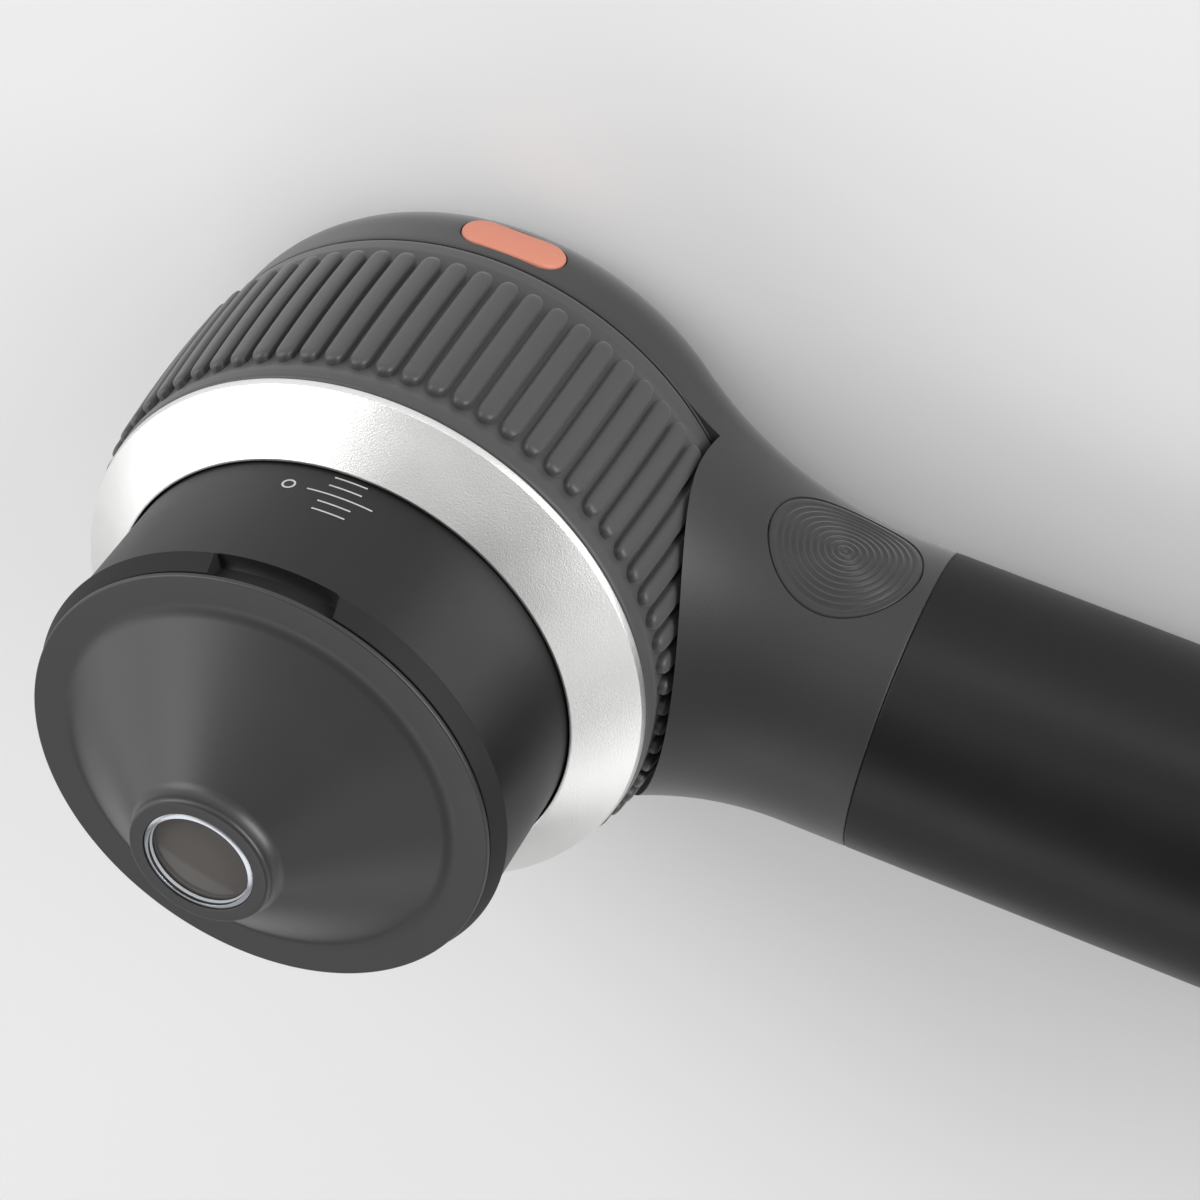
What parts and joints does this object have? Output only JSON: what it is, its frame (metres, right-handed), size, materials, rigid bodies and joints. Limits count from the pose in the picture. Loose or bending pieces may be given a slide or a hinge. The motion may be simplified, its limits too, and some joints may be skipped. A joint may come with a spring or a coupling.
{
  "type": "skin scope",
  "caption": "Hand-held skin scope: round head with a ribbed focus dial, sliding barrel and pull-off contact cone, on a straight battery handle with side buttons.",
  "frame": {"origin": "under the middle of the whole outline, on the plane that the back of the head and the back of the handle lie on", "axes": "+X along the handle towards its end, +Y towards the side with the scale and the fingernail notch, +Z along the optical axis towards the cone"},
  "size_m": [0.1498, 0.0468, 0.0517],
  "materials": {
    "soft_black": "matte soft-touch",
    "grip_black": "matte, ribbed",
    "satin_black": "satin black anodised",
    "cone_grey": "matte dark grey",
    "satin_aluminium": "bead-blasted satin",
    "orange": "matte",
    "glass": "polished, coated",
    "black_metal": "matt black anodised",
    "brass": "turned",
    "board_green": "circuit board",
    "lamp_white": "lamp body",
    "film_grey": "polarising film",
    "flex_amber": "flexible circuit",
    "rubber": "moulded",
    "cell_wrap": "shrink wrap",
    "nickel": "nickel plated",
    "steel": "plain",
    "switch_black": "moulded"
  },
  "bodies": {
    "housing": {"rear_housing": "soft_black", "handle_sleeve": "soft_black", "handle_end_cap": "soft_black", "charge_port": "nickel", "charge_board": "board_green", "battery_cell": "cell_wrap", "battery_contact_front": "nickel", "battery_spring": "nickel", "control_board": "board_green", "power_switch_left": "switch_black", "power_switch_right": "switch_black", "boost_switch_left": "switch_black", "boost_switch_right": "switch_black", "eyepiece_bezel": "black_metal", "lens_tube": "black_metal", "eyepiece_lens": "glass", "lens_spacer": "black_metal", "objective_lens": "glass", "lens_retaining_ring": "black_metal", "led_board": "board_green", "led_1": "lamp_white", "led_2": "lamp_white", "led_3": "lamp_white", "led_4": "lamp_white", "led_5": "lamp_white", "led_6": "lamp_white", "led_7": "lamp_white", "led_8": "lamp_white", "polariser_ring": "film_grey", "analyser_disc": "film_grey", "main_flex": "flex_amber", "guide_sleeve": "black_metal", "sleeve_screw_1": "steel", "sleeve_screw_2": "steel", "sleeve_screw_3": "steel", "sleeve_screw_4": "steel", "barrel_seal": "rubber"},
    "dial": {"focus_dial": "grip_black", "cam_ring": "brass", "trim_ring": "satin_aluminium"},
    "barrel": {"focus_barrel": "satin_black", "cam_pin_1": "steel", "cam_pin_2": "steel", "cam_pin_3": "steel"},
    "cone": {"cone_cap": "cone_grey", "window_bezel": "satin_aluminium", "tip_window": "glass", "cap_seal": "rubber"},
    "power_left": {"power_button_left": "soft_black"},
    "power_right": {"power_button_right": "soft_black"},
    "boost_left": {"boost_button_left": "orange"},
    "boost_right": {"boost_button_right": "orange"}
  },
  "joints": [
    {"name": "focus_turn", "type": "hinge", "parent": "housing", "child": "dial", "pos_m": [-0.05156, 0, 0.0172], "axis": [0, 0, 1], "range_deg": [-45, 45]},
    {"name": "focus_slide", "type": "slide", "parent": "housing", "child": "barrel", "axis": [0, 0, 1], "range_m": [-0.0021, 0.0021]},
    {"name": "cone_pull", "type": "slide", "parent": "barrel", "child": "cone", "axis": [0, 0, 1], "range_m": [0, 0.012]},
    {"name": "power_press_left", "type": "slide", "parent": "housing", "child": "power_left", "axis": [0, -1, 0], "range_m": [0, 0.0006], "stiffness_N_per_m": 900, "springref_m": -0.0005},
    {"name": "power_press_right", "type": "slide", "parent": "housing", "child": "power_right", "axis": [0, 1, 0], "range_m": [0, 0.0006], "stiffness_N_per_m": 900, "springref_m": -0.0005},
    {"name": "boost_press_left", "type": "slide", "parent": "housing", "child": "boost_left", "axis": [0, -1, 0], "range_m": [0, 0.0005], "stiffness_N_per_m": 900, "springref_m": -0.0005},
    {"name": "boost_press_right", "type": "slide", "parent": "housing", "child": "boost_right", "axis": [0, 1, 0], "range_m": [0, 0.0005], "stiffness_N_per_m": 900, "springref_m": -0.0005}
  ],
  "couplings": [
    {"joint": "focus_slide", "follows": "focus_turn", "m_per_rad": 0.0026738}
  ]
}
